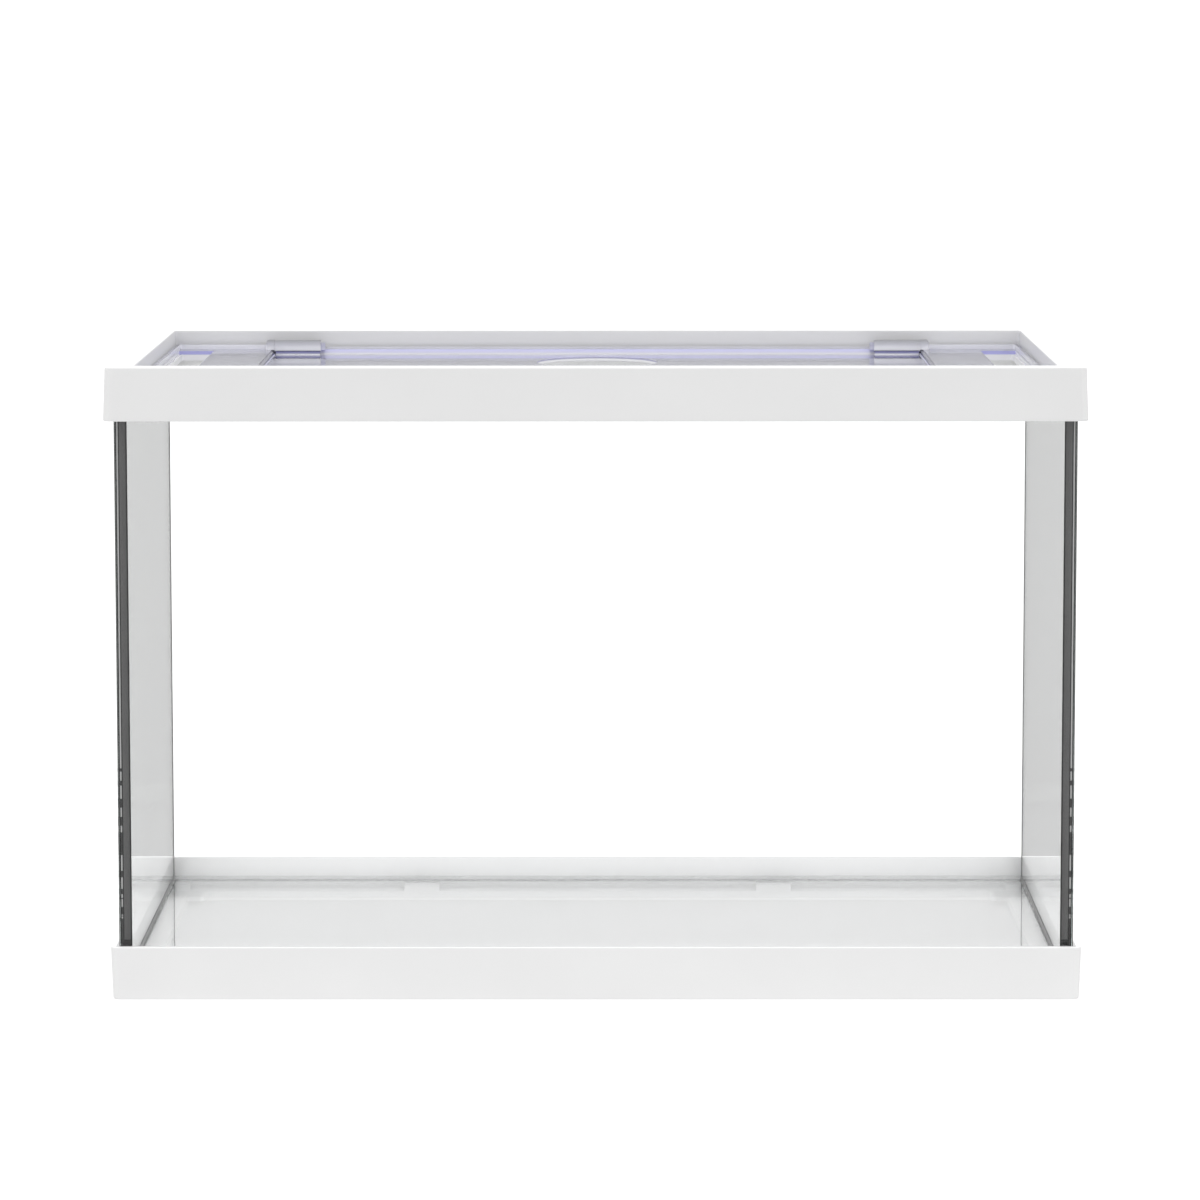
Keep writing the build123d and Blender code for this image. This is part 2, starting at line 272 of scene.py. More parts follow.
def bedding_ring(name, bottom, top, node):
    """A flat ring of sealant under or over the ends of the four upright panes."""
    shape = bmesh.new()
    bmesh.ops.create_grid(shape, x_segments=1, y_segments=1, size=1.0)
    bmesh.ops.scale(shape, verts=shape.verts, vec=(glass_half_length, glass_half_depth, 1))
    inset = bmesh.ops.inset_region(shape, faces=shape.faces[:], thickness=glass_thickness,
                                   use_boundary=True, use_even_offset=True)
    middle = [face for face in shape.faces if face not in inset["faces"]]
    bmesh.ops.delete(shape, geom=middle, context="FACES_ONLY")
    bmesh.ops.translate(shape, verts=shape.verts, vec=(0, 0, bottom * mm))
    raised = moved_verts(bmesh.ops.extrude_face_region(shape, geom=shape.faces[:]))
    bmesh.ops.translate(shape, verts=raised, vec=(0, 0, (top - bottom) * mm))
    bmesh.ops.recalc_face_normals(shape, faces=shape.faces)
    level = [edge for edge in shape.edges if abs(edge.verts[0].co.z - edge.verts[1].co.z) < air_gap]
    level = [edge for edge in level if edge.calc_face_angle(0) > 1]
    bmesh.ops.bevel(shape, geom=level, offset=bedding_radius, segments=2, profile=0.5, affect="EDGES",
                    material=-1)
    return finish_piece(shape, name, clear, "tank", "clear_sealant", node)


clear = clear_sealant()
bedding_ring("base_bedding_ring", 4.33, 4.77, "base_bedding")


# Glass: five panes of clear 5 mm float glass, cut square with ground and seamed edges.
# The front and back panes cover the ends of the side panes, and the floor pane sits inside all four.
glass_body = (0.40, 0.50, 0.48, 1.0)
ground_roughness = 0.28


def pass_soft_light(tree, shader, tint):
    """Soft light goes straight on through a clear piece. The eye still meets its whole finish."""
    mix = add_node(tree, "ShaderNodeMixShader")
    through = add_node(tree, "ShaderNodeBsdfTransparent")
    through.inputs["Color"].default_value = (*tint, 1)
    link(tree, add_node(tree, "ShaderNodeLightPath").outputs["Is Diffuse Ray"], mix.inputs[0])
    link(tree, shader.outputs[0], mix.inputs[1])
    link(tree, through.outputs[0], mix.inputs[2])
    link(tree, mix.outputs[0], tree.nodes["Material Output"].inputs["Surface"])


def tint_inside(tree, colour, density):
    """Colour that gathers over the depth of a clear piece."""
    body = add_node(tree, "ShaderNodeVolumeAbsorption")
    body.inputs["Color"].default_value = colour
    body.inputs["Density"].default_value = density
    link(tree, body.outputs[0], tree.nodes["Material Output"].inputs["Volume"])


def pane_glass(name, across):
    """Glass polished on the faces that lie across one axis, and ground on its edges."""
    material, tree, shader = new_material(name, roughness=0.0)
    shader.inputs["Transmission Weight"].default_value = 1.0
    film = place_group(tree, moulded_grain, Grain_Scale=60.0, Flow_Scale=9.0, Flow_Share=0.7)
    colour = two_tone(tree, film.outputs["Tone"], (0.992, 0.996, 0.995), (1.0, 1.0, 1.0))
    link(tree, colour, shader.inputs["Base Color"])
    ground = below(tree, axes_of(tree, "Normal")[across], 0.5)
    link(tree, maths(tree, "MULTIPLY", ground, ground_roughness), shader.inputs["Roughness"])
    tint_inside(tree, glass_body, density=2.0)
    pass_soft_light(tree, shader, tint=(1.0, 1.0, 1.0))
    return material


for across, panes in (("X", ("left_pane", "right_pane")), ("Y", ("front_pane", "back_pane")),
                      ("Z", ("floor_pane",))):
    glass = pane_glass("pane_glass_" + across.lower(), across)
    for pane in panes:
        dress(pane, glass)


# Corner joints: thin layers of dark silicone that bond the ends of the side panes to the front and
# back panes. Each fills the seamed edges of the glass and ends in a small hollow fillet inside.
joint_bottom, joint_top = 4.83 * mm, 264.07 * mm
joint_inner_edge = 195.3 * mm
shaded_joint_foot = 24.4 * mm
reflection_line_inner, reflection_line_outer = 199.35 * mm, 200.1 * mm
reflection_line_broken_below = 100 * mm
fillet_waver = 0.04 * mm


def dark_joint_sealant():
    """Dark grey in bands across the layer, set after the light and dark lines in the photo."""
    material, tree, shader = new_material("dark_joint_sealant", roughness=0.4, ior=1.4)
    shader.inputs["Specular IOR Level"].default_value = 0.15
    place = axes_of(tree, "Object")
    across = add_node(tree, "ShaderNodeMapRange")
    link(tree, maths(tree, "ABSOLUTE", place["X"]), across.inputs["Value"])
    across.inputs["From Min"].default_value = joint_inner_edge
    across.inputs["From Max"].default_value = glass_half_length
    # Painted reflections in bands: a highlight at the inner fillet, dark lines and a light line; the dark
    # grey is its own.
    tones = ((0.0, 0.70), (0.03, 0.60), (0.045, 0.006), (0.15, 0.006), (0.19, 0.102), (0.655, 0.106),
             (0.665, 0.006), (0.74, 0.006), (0.755, 0.42), (0.85, 0.42), (0.865, 0.002), (1.0, 0.002))
    stops = [(position, grey(tone)) for position, tone in tones]
    bands = colour_ramp(tree, across.outputs["Result"], stops)
    lumps = place_group(tree, moulded_grain, Grain_Scale=900.0, Flow_Scale=60.0, Flow_Share=0.5)
    shade = two_tone(tree, lumps.outputs["Tone"], grey(0.88), grey(1.0))
    blend = add_node(tree, "ShaderNodeMix", data_type="RGBA", blend_type="MULTIPLY")
    blend.inputs["Factor"].default_value = 1.0
    link(tree, bands, blend.inputs["A"])
    link(tree, shade, blend.inputs["B"])
    height = add_node(tree, "ShaderNodeCombineXYZ")
    link(tree, place["Z"], height.inputs["Z"])
    gaps = add_node(tree, "ShaderNodeTexNoise")
    gaps.inputs["Scale"].default_value = 130.0
    link(tree, height.outputs[0], gaps.inputs["Vector"])
    # Painted shade makes the foot near black, and dark gaps break the painted light line in its lower part.
    broken = all_of(tree, maths(tree, "LESS_THAN", place["Z"], reflection_line_broken_below),
                    maths(tree, "GREATER_THAN", gaps.outputs["Fac"], 0.5),
                    within(tree, place["X"], reflection_line_inner, reflection_line_outer))
    foot = maths(tree, "LESS_THAN", place["Z"], shaded_joint_foot)
    dark = maths(tree, "MULTIPLY", maths(tree, "MAXIMUM", broken, foot), 0.92)
    link(tree, over_part(tree, blend.outputs["Result"], dark, 0.004), shader.inputs["Base Color"])
    return material


def extrude_profile(shape, points, run):
    """One face through the points, drawn out along a run into a closed bar. Returns its long edges."""
    face = shape.faces.new([shape.verts.new(point) for point in points])
    far = moved_verts(bmesh.ops.extrude_face_region(shape, geom=[face]))
    bmesh.ops.translate(shape, verts=far, vec=run)
    run = Vector(run).normalized()
    edges = [edge for edge in shape.edges if edge.calc_length() > mm]
    return [e for e in edges if abs((e.verts[0].co - e.verts[1].co).normalized().dot(run)) > 0.99]


def corner_joint(name, side, end, material):
    """The profile is given from the pane's corner: along the pane, then in from its inner face."""
    profile = ((0.03, -0.34), (0.17, 0.3), (0.03, 0.94), (0.43, 0.58), (4.57, 0.58), (4.97, 0.99),
               (5.02, 0.80), (5.05, 0.45), (5.10, 0.18), (5.18, 0.02), (0.43, 0.02))
    shape = bmesh.new()
    points = []
    for along, inward in profile:
        across = side * (glass_half_length - along * mm)
        points.append((across, end * (inner_half_depth - inward * mm), joint_bottom))
    upright = extrude_profile(shape, points, (0, 0, joint_top - joint_bottom))
    bmesh.ops.subdivide_edges(shape, edges=upright, cuts=90)
    for vert in shape.verts:
        depth_in = glass_half_length - abs(vert.co.x)
        if depth_in > glass_thickness + 2 * air_gap:
            spread = noise.noise(Vector((side * 7, end * 3, vert.co.z * 90)))
            vert.co.x -= side * fillet_waver * spread
    for face in shape.faces:
        face.smooth = abs(face.normal.z) < 0.5
    return finish_piece(shape, name + "_sealant", material, "tank", "dark_sealant", name)


joint_sealant = dark_joint_sealant()
for side, side_name in ((-1, "left"), (1, "right")):
    for end, end_name in ((-1, "front"), (1, "back")):
        corner_joint(end_name + "_" + side_name + "_joint", side, end, joint_sealant)


# Floor beads: silicone run round the floor pane from inside and drawn to a small hollow fillet with
# a finger, dark along the sides and clear along the front and back. They meet in mitred corners.
floor_top = 13.0 * mm
marks_inner, marks_outer = 195.1 * mm, 195.3 * mm
marks_start = 20.0 * mm
bead_waver = 0.1 * mm


def dark_bead_sealant():
    """Dark grey, with a row of lighter marks along the rear half of its inner edge."""
    material, tree, shader = new_material("dark_bead_sealant", roughness=0.35, ior=1.4)
    lumps = place_group(tree, moulded_grain, Grain_Scale=900.0, Flow_Scale=260.0, Flow_Share=0.7)
    colour = two_tone(tree, lumps.outputs["Tone"], grey(0.13), grey(0.20))
    x, y = axes_of(tree, "Object")[:2]
    wave = maths(tree, "SINE", maths(tree, "MULTIPLY", y, 520.0))
    lighter_marks = all_of(tree, maths(tree, "GREATER_THAN", wave, 0.25),
                     maths(tree, "GREATER_THAN", y, marks_start),
                     within(tree, x, marks_inner, marks_outer))
    link(tree, over_part(tree, colour, lighter_marks, 0.5), shader.inputs["Base Color"])
    return material


def floor_bead(name, along_x, side, material, slot_name):
    """The profile is given from the wall: in over the floor, then up from the floor's top."""
    profile = ((0.02, -4.95), (0.58, -4.95), (0.58, 0.02), (0.50, 0.12), (0.38, 0.30),
               (0.24, 0.60), (0.12, 0.95), (0.02, 1.35))
    wall, reach = inner_half_depth, inner_half_length
    if not along_x:
        wall, reach = reach, wall
    shape = bmesh.new()
    points = []
    for inward, height in profile:
        from_wall, level = side * (wall - inward * mm), floor_top + height * mm
        points.append((-reach, from_wall, level) if along_x else (from_wall, -reach, level))
    run = (2 * reach, 0, 0) if along_x else (0, 2 * reach, 0)
    lengthwise = extrude_profile(shape, points, run)
    bmesh.ops.subdivide_edges(shape, edges=lengthwise, cuts=110)
    run_axis, wall_axis = (0, 1) if along_x else (1, 0)
    for vert in shape.verts:
        inward = wall - abs(vert.co[wall_axis])
        if abs(vert.co[run_axis]) > reach - air_gap:
            vert.co[run_axis] = math.copysign(reach - max(inward, air_gap), vert.co[run_axis])
        elif vert.co.z > floor_top + bead_waver:
            ripple = noise.noise(Vector((vert.co.x * 400, vert.co.y * 400, side * 5)))
            vert.co.z += bead_waver * ripple
    for face in shape.faces:
        face.smooth = True
    return finish_piece(shape, name + "_sealant", material, "tank", slot_name, name)


bead_sealant = dark_bead_sealant()
floor_bead("left_floor_bead", False, -1, bead_sealant, "dark_sealant")
floor_bead("right_floor_bead", False, 1, bead_sealant, "dark_sealant")
floor_bead("front_floor_bead", True, -1, clear, "clear_sealant")
floor_bead("back_floor_bead", True, 1, clear, "clear_sealant")


# Top frame: the same white plastic in a deeper moulding, with a flat rim and an inner ledge for the
# lid. It is pressed down over the rim of the glass onto its own layer of sealant.
bedding_ring("top_bedding_ring", 264.13, 264.57, "top_bedding")
dress("top_frame", frame_plastic)


# Lid tray: clear styrene plastic with a faint lavender tint that gathers in its edges, moulded in one
# piece: a plate with a lip round it, a window in each side, and a sunken middle with a shelf round it.
# It lies loose in the rim on six low pads. All sizes from here to the pins are in millimetres.
lid_half_length, lid_half_depth = 191.87, 93.87
lid_underside, lid_top = 257.08, 258.7
lip_top, low_lip_top, lip_width, lip_step = 260.7, 259.7, 1.6, 0.6
brow_width, recess_wall = 1.7, 1.6
recess_half, recess_front, recess_rear = 146.6, -86.67, 89.27
flap_level, shelf_level, shelf_underside = 256.6, 254.93, 253.45
shelf_width, rear_shelf_width = 4.0, 0.6
hump_inner, hump_outer = 123.9, 150.8
window_inner, window_outer, window_front, window_rear = 174.0, 189.7, -9.03, 80.97
lid_edge = 0.22
lavender = (0.0, 0.0, 0.68, 1.0)


def clear_lid_plastic(name, low, high, depth_of_tint, roughness=0.02, clearness=1.0):
    material, tree, shader = new_material(name, roughness)
    flow = place_group(tree, moulded_grain, Grain_Scale=300.0, Flow_Scale=14.0, Flow_Share=0.8)
    link(tree, two_tone(tree, flow.outputs["Tone"], low, high), shader.inputs["Base Color"])
    shader.inputs["Transmission Weight"].default_value = clearness
    tint_inside(tree, lavender, depth_of_tint)
    if clearness == 1.0:
        pass_soft_light(tree, shader, tint=(0.99, 0.99, 1.0))
    return material


def satin_wall_plastic(name, bottom, top, stops, clearness=0.25, roughness=0.25):
    """A half-clear finish. Its colours over a wall's height stand for the reflections in the photo."""
    material, tree, shader = new_material(name, roughness)
    height = add_node(tree, "ShaderNodeMapRange")
    height.inputs["From Min"].default_value = bottom * mm
    height.inputs["From Max"].default_value = top * mm
    link(tree, axes_of(tree, "Object")["Z"], height.inputs["Value"])
    grain = place_group(tree, moulded_grain, Grain_Scale=1500.0, Flow_Scale=160.0, Flow_Share=0.6)
    drift = maths(tree, "MULTIPLY", maths(tree, "SUBTRACT", grain.outputs["Tone"], 0.5), 0.08)
    drifted = maths(tree, "ADD", height.outputs["Result"], drift)
    link(tree, colour_ramp(tree, drifted, stops), shader.inputs["Base Color"])
    shader.inputs["Transmission Weight"].default_value = clearness
    return material


lid_plastic = clear_lid_plastic("clear_lid_plastic", (0.53, 0.53, 0.555), (0.60, 0.60, 0.625), 24.0)
# The lip walls and the flap's outer edges get a lighter copy of the lid's plastic: painted light.
lip_plastic = clear_lid_plastic("satin_lip_plastic", (0.76, 0.76, 0.79), (0.84, 0.84, 0.87), 4.0,
                                roughness=0.25, clearness=0.3)
# The window walls get a darker, deeper lavender copy of it: painted shade.
cut_plastic = clear_lid_plastic("cut_edge_plastic", (0.40, 0.40, 0.76), (0.48, 0.48, 0.86), 8.0,
                                roughness=0.2, clearness=0.35)
wall_plastic = satin_wall_plastic("satin_wall_plastic", flap_level, lid_top,
                                  ((0.0, (0.78, 0.78, 0.80)), (0.22, (0.74, 0.74, 0.80)),
                                   (0.36, (0.62, 0.62, 0.80)), (1.0, (0.60, 0.60, 0.88))))
side_wall_plastic = satin_wall_plastic("satin_side_wall_plastic", flap_level, lid_top,
                                       ((0.0, (0.70, 0.70, 0.86)), (0.14, (0.62, 0.62, 0.80)),
                                        (0.22, (0.10, 0.10, 0.16)), (0.40, (0.12, 0.12, 0.17)),
                                        (0.48, (0.36, 0.36, 0.40)), (0.80, (0.34, 0.34, 0.38)),
                                        (0.88, (0.12, 0.12, 0.15)), (1.0, (0.14, 0.14, 0.18))))


def centred(half_length, front, rear):
    """A rectangle (x0, x1, y0, y1) that is centred on x = 0."""
    return -half_length, half_length, front, rear


def first_ring(shape, rectangle, level, corner):
    """A rounded rectangle of edges at one level."""
    x0, x1, y0, y1 = rectangle
    bmesh.ops.create_grid(shape, x_segments=1, y_segments=1, size=0.5)
    bmesh.ops.scale(shape, verts=shape.verts, vec=((x1 - x0) * mm, (y1 - y0) * mm, 1))
    bmesh.ops.translate(shape, verts=shape.verts, vec=((x0 + x1) / 2 * mm, (y0 + y1) / 2 * mm, level * mm))
    bmesh.ops.bevel(shape, geom=shape.verts[:], offset=corner * mm, segments=4, profile=0.5,
                    affect="VERTICES", material=-1)
    bmesh.ops.delete(shape, geom=shape.faces[:], context="FACES_ONLY")
    return shape.edges[:]


def next_ring(shape, ring, was, rectangle, level):
    """Draws a ring of edges out into a wall that ends in another rectangle at another level."""
    drawn = bmesh.ops.extrude_edge_only(shape, edges=ring)
    fresh = set(moved_verts(drawn))
    wider = (rectangle[1] - rectangle[0]) / (was[1] - was[0])
    deeper = (rectangle[3] - rectangle[2]) / (was[3] - was[2])
    for vert in fresh:
        vert.co.x = (rectangle[0] + (vert.co.x / mm - was[0]) * wider) * mm
        vert.co.y = (rectangle[2] + (vert.co.y / mm - was[2]) * deeper) * mm
        vert.co.z = level * mm
    edges = [item for item in drawn["geom"] if isinstance(item, bmesh.types.BMEdge)]
    return [edge for edge in edges if edge.verts[0] in fresh and edge.verts[1] in fresh]


def cut_across(shape, axis, place):
    """Cuts every face of the shape along a plane that stands across an axis."""
    normal = Vector((1, 0, 0)) if axis == "x" else Vector((0, 1, 0))
    bmesh.ops.bisect_plane(shape, geom=shape.verts[:] + shape.edges[:] + shape.faces[:],
                           plane_co=normal * place * mm, plane_no=normal)


def inside_window(face, level):
    """Whether a level face lies in a window's outline at one height."""
    middle = face.calc_center_median() / mm
    across = window_inner < abs(middle.x) < window_outer
    return across and window_front < middle.y < window_rear and abs(middle.z - level) < 0.1


def soften_edges(shape, width, sharp=38):
    """Rounds every edge that turns by more than an angle in degrees."""
    bmesh.ops.recalc_face_normals(shape, faces=shape.faces)
    closed = [edge for edge in shape.edges if edge.is_manifold]
    edges = [edge for edge in closed if edge.calc_face_angle() > math.radians(sharp)]
    bmesh.ops.bevel(shape, geom=edges, offset=width * mm, segments=3, profile=0.5, affect="EDGES",
                    clamp_overlap=True, material=-1)
    for face in shape.faces:
        face.smooth = True


def finish_walls(piece, choose_finish, *finishes):
    """Gives the upright faces of a piece their own satin finishes, after their tones in the photo."""
    for finish in finishes:
        piece.data.materials.append(finish)
    for face in piece.data.polygons:
        if abs(face.normal.z) < 0.85:
            face.material_index = choose_finish(face.center / mm)


def shade_by_angle(piece, angle=32):
    """Keeps the flat faces flat and only the small edge radii smooth."""
    mesh = piece.data
    shape = bmesh.new()
    shape.from_mesh(mesh)
    for edge in shape.edges:
        edge.smooth = edge.is_manifold and edge.calc_face_angle() < math.radians(angle)
    shape.to_mesh(mesh)
    shape.free()
    weighted = piece.modifiers.new("flat_faces", "WEIGHTED_NORMAL")
    weighted.keep_sharp = True


def open_windows(shape):
    """Takes the plate away in both windows and closes each cut with an upright wall."""
    for side in (-1, 1):
        for place in (window_inner, window_outer):
            cut_across(shape, "x", side * place)
    for place in (window_front, window_rear):
        cut_across(shape, "y", place)
    gone = [face for face in shape.faces
            if inside_window(face, lid_top) or inside_window(face, lid_underside)]
    bmesh.ops.delete(shape, geom=gone, context="FACES")
    for side in (-1, 1):
        rims = [edge for edge in shape.edges if edge.is_boundary and edge.verts[0].co.x * side > 0]
        bmesh.ops.bridge_loops(shape, edges=rims)


def tray_finish(place):
    """The wall finish at a place on the tray: 1 lip, 2 plain wall, 3 window wall, 4 side of the recess."""
    if abs(place.x) > lid_half_length - 2.2 or abs(place.y) > lid_half_depth - 2.2:
        return 1
    if abs(place.x) > window_inner - 1:
        return 3
    return 4 if abs(place.x) > recess_half - 0.2 and place.z > flap_level - 0.2 else 2


def lid_tray():
    outer = centred(lid_half_length, -lid_half_depth, lid_half_depth)
    lip = centred(lid_half_length - lip_width, -lid_half_depth + lip_width, lid_half_depth - lip_width)
    brow = centred(recess_half + brow_width, recess_front - brow_width, recess_rear + brow_width)
    recess = centred(recess_half, recess_front, recess_rear)
    shelf = centred(recess_half - shelf_width, recess_front + shelf_width, recess_rear - rear_shelf_width)
    outside = centred(recess_half + recess_wall, recess_front - recess_wall, recess_rear + recess_wall)
    shape = bmesh.new()
    start = ring = first_ring(shape, outer, lid_underside, 1.0)
    was = outer
    for rectangle, level in ((outer, lip_top), (lip, lip_top), (lip, lid_top), (brow, lid_top),
                             (recess, flap_level), (recess, shelf_level), (shelf, shelf_level),
                             (shelf, shelf_underside), (outside, shelf_underside),
                             (outside, lid_underside)):
        ring = next_ring(shape, ring, was, rectangle, level)
        was = rectangle
    bmesh.ops.bridge_loops(shape, edges=start + ring)
    for side in (-1, 1):
        cut_across(shape, "x", side * hump_inner)
        cut_across(shape, "x", side * (hump_inner + lip_step))
    for vert in shape.verts:
        place = vert.co / mm
        if abs(place.x) < hump_inner + 0.1 and place.y > lid_half_depth - 2 and place.z > low_lip_top:
            vert.co.z = low_lip_top * mm
    open_windows(shape)
    soften_edges(shape, lid_edge)
    tray = finish_piece(shape, "lid_tray_moulding", lid_plastic, "lid", "clear_lid_plastic", "lid_tray")
    finish_walls(tray, tray_finish, lip_plastic, wall_plastic, cut_plastic, side_wall_plastic)
    shade_by_angle(tray)


lid_tray()


# Hinge ears: four frosted lugs on the lid tray that hold the ends of the flap's two hinge pins. Each
# is a half-round on a short foot, and the outer ones end in a rounded nose.
hinge_y, hinge_z = 89.27, 260.6
barrel_inner, barrel_outer = 125.85, 146.9
outer_ear_radius, inner_ear_radius = 2.6, 1.35
outer_nose, inner_nose = 1.4, 0.4
seam = 0.02
# Both hinge finishes darken towards the crown as painted shade, which also stands for a shadow above the
# humps.
frosted_plastic = satin_wall_plastic("frosted_hinge_plastic", 259.2, 263.2,
                                     ((0.0, (0.88, 0.88, 0.91)), (0.25, (0.82, 0.82, 0.86)),
                                      (0.5, (0.60, 0.60, 0.65)), (0.75, (0.42, 0.42, 0.46)),
                                      (0.95, (0.27, 0.27, 0.29)), (1.0, (0.22, 0.22, 0.24))),
                                     clearness=0.2, roughness=0.38)
end_plastic = satin_wall_plastic("lavender_hinge_end_plastic", lid_top, 262.4,
                                 ((0.0, (0.66, 0.66, 0.78)), (0.6, (0.52, 0.52, 0.64)),
                                  (1.0, (0.38, 0.38, 0.48))), clearness=0.2, roughness=0.3)


def half_round(shape, x_start, length, radius, turn, foot, turns=18):
    """A bar along x, round over the hinge line. Its profile is an arc, drawn from the rear over the top
    to the front, and closed by a square foot through the given points."""
    axis = Vector((x_start, hinge_y, hinge_z)) * mm
    begin = math.radians(180 - turn)
    first = shape.verts.new(axis + Vector((0, math.cos(begin), math.sin(begin))) * radius * mm)
    bmesh.ops.spin(shape, geom=[first], cent=axis, axis=(1, 0, 0), angle=math.radians(turn), steps=turns,
                   use_duplicate=False)
    shape.verts.ensure_lookup_table()
    loose = [vert for vert in shape.verts if len(vert.link_edges) == 1]
    loose.sort(key=lambda vert: (vert.co - first.co).length)
    corners = [loose[-1]] + [shape.verts.new((axis.x, y * mm, z * mm)) for y, z in foot] + [loose[0]]
    for pair in zip(corners, corners[1:]):
        shape.edges.new(pair)
    face = bmesh.ops.contextual_create(shape, geom=shape.edges[:])["faces"]
    far = moved_verts(bmesh.ops.extrude_face_region(shape, geom=face))
    bmesh.ops.translate(shape, verts=far, vec=(length * mm, 0, 0))
    bmesh.ops.recalc_face_normals(shape, faces=shape.faces)


def round_the_end(shape, place, width, segments):
    """Rounds the edges round one end of a bar, above the hinge line."""
    edges = [edge for edge in shape.edges
             if all(abs(vert.co.x - place * mm) < air_gap for vert in edge.verts)
             and edge.calc_length() < 4 * mm
             and max(vert.co.z for vert in edge.verts) > (hinge_z - 0.1) * mm]
    bmesh.ops.bevel(shape, geom=edges, offset=width * mm, segments=segments, profile=0.5, affect="EDGES",
                    clamp_overlap=True, material=-1)
    for face in shape.faces:
        face.smooth = True


def hinge_ear(side, side_name, where):
    if where == "outer":
        near, far, free_end = barrel_outer, hump_outer, hump_outer
        radius, nose, finish = outer_ear_radius, outer_nose, frosted_plastic
    else:
        near, far, free_end = hump_inner, barrel_inner, hump_inner
        radius, nose, finish = inner_ear_radius, inner_nose, end_plastic
    length = far - near
    shape = bmesh.new()
    foot = [(hinge_y - radius, lid_top + seam), (hinge_y + radius, lid_top + seam)]
    half_round(shape, near if side > 0 else -near - length, length, radius, 180, foot)
    round_the_end(shape, side * free_end, nose, 5)
    ear = finish_piece(shape, f"{side_name}_{where}_hinge_ear", finish, "lid", "clear_lid_plastic")
    shade_by_angle(ear)


for side, side_name in ((-1, "left"), (1, "right")):
    hinge_ear(side, side_name, "inner")
    hinge_ear(side, side_name, "outer")


# Feeding flap: a flat plate of the same clear plastic in the sunken middle of the tray. It has a round
# hole to drop food through, a finger tab at its front, and a hinge barrel over each rear corner.
flap_half, flap_front, flap_rear = 146.2, -86.27, 88.87
flap_underside = 254.95
hole_radius, hole_y = 26.75, 46.37
tab_half, tab_depth, tab_top = 21, 1.65, 260.6
barrel_radius, barrel_nose, barrel_play, barrel_arc = 2.5, 1.2, 0.06, 260
web_front, web_top = 86.3, 258.4
# The flap's copy of the lid's plastic is lighter than the tray's: painted light.
flap_plastic = clear_lid_plastic("clear_flap_plastic", (0.70, 0.70, 0.72), (0.78, 0.78, 0.80), 16.0)
hole_plastic = satin_wall_plastic("satin_hole_plastic", flap_underside, flap_level,
                                  ((0.0, (0.66, 0.66, 0.70)), (0.2, (0.84, 0.84, 0.86)),
                                   (0.55, (0.84, 0.84, 0.86)), (0.68, (0.40, 0.40, 0.54)),
                                   (1.0, (0.34, 0.34, 0.50))))
# The web's colours are painted shade: near black under the barrel and light at its foot by the flap.
web_plastic = satin_wall_plastic("shaded_web_plastic", flap_level, web_top,
                                 ((0.0, (0.85, 0.85, 0.86)), (0.14, (0.80, 0.80, 0.82)),
                                  (0.24, (0.40, 0.40, 0.50)), (0.40, (0.24, 0.24, 0.40)),
                                  (0.70, (0.20, 0.20, 0.38)), (0.85, (0.09, 0.09, 0.17)),
                                  (1.0, (0.07, 0.07, 0.13))), clearness=0.05, roughness=0.15)


def flap_finish(place):
    """The wall finish at a place on the flap: 1 outer edge, 2 wall of the hole."""
    return 2 if (place.xy - Vector((0, hole_y))).length < hole_radius + 0.5 else 1


def flap_plate():
    shape = bmesh.new()
    first_ring(shape, centred(flap_half, flap_front, flap_rear), flap_level, 1.0)
    bmesh.ops.create_circle(shape, segments=96, radius=hole_radius * mm,
                            matrix=Matrix.Translation((0, hole_y * mm, flap_level * mm)))
    bmesh.ops.triangle_fill(shape, edges=shape.edges[:], use_beauty=True)
    centre = Vector((0, hole_y * mm))
    hole = [face for face in shape.faces
            if all((vert.co.xy - centre).length < (hole_radius + 0.1) * mm for vert in face.verts)]
    bmesh.ops.delete(shape, geom=hole, context="FACES")
    under = moved_verts(bmesh.ops.extrude_face_region(shape, geom=shape.faces[:]))
    bmesh.ops.translate(shape, verts=under, vec=(0, 0, (flap_underside - flap_level) * mm))
    soften_edges(shape, lid_edge)
    plate = finish_piece(shape, "feeding_flap_plate", flap_plastic, "flap", "clear_lid_plastic",
                         "feeding_flap")
    finish_walls(plate, flap_finish, lip_plastic, hole_plastic)
    shade_by_angle(plate)


def square_bar(name, low, high, edge, material):
    """A block with softened edges between two corners."""
    low, high = Vector(low) * mm, Vector(high) * mm
    shape = bmesh.new()
    bmesh.ops.create_cube(shape, size=1.0)
    bmesh.ops.scale(shape, verts=shape.verts, vec=high - low)
    bmesh.ops.translate(shape, verts=shape.verts, vec=(high + low) / 2)
    soften_edges(shape, edge)
    bar = finish_piece(shape, name, material, "flap", "clear_lid_plastic")
    shade_by_angle(bar)


def hinge_barrel(side, side_name):
    """A frosted round bar with a square front, on a web over the flap that is painted dark under the bar as
    shade.
    """
    inner = side * (barrel_inner + barrel_play)
    x0, x1 = sorted((inner, side * (barrel_outer - barrel_play)))
    shape = bmesh.new()
    foot = [(hinge_y - barrel_radius, web_top + seam), (hinge_y - 0.4, web_top + seam)]
    half_round(shape, x0, x1 - x0, barrel_radius, barrel_arc, foot, turns=26)
    round_the_end(shape, inner, barrel_nose, 4)
    barrel = finish_piece(shape, f"{side_name}_hinge_barrel", frosted_plastic, "flap", "clear_lid_plastic")
    shade_by_angle(barrel)
    x0, x1 = sorted((side * (barrel_inner + 0.3), side * flap_half))
    square_bar(f"{side_name}_hinge_web", (x0, web_front, flap_level + seam), (x1, flap_rear, web_top), 0.15,
               web_plastic)


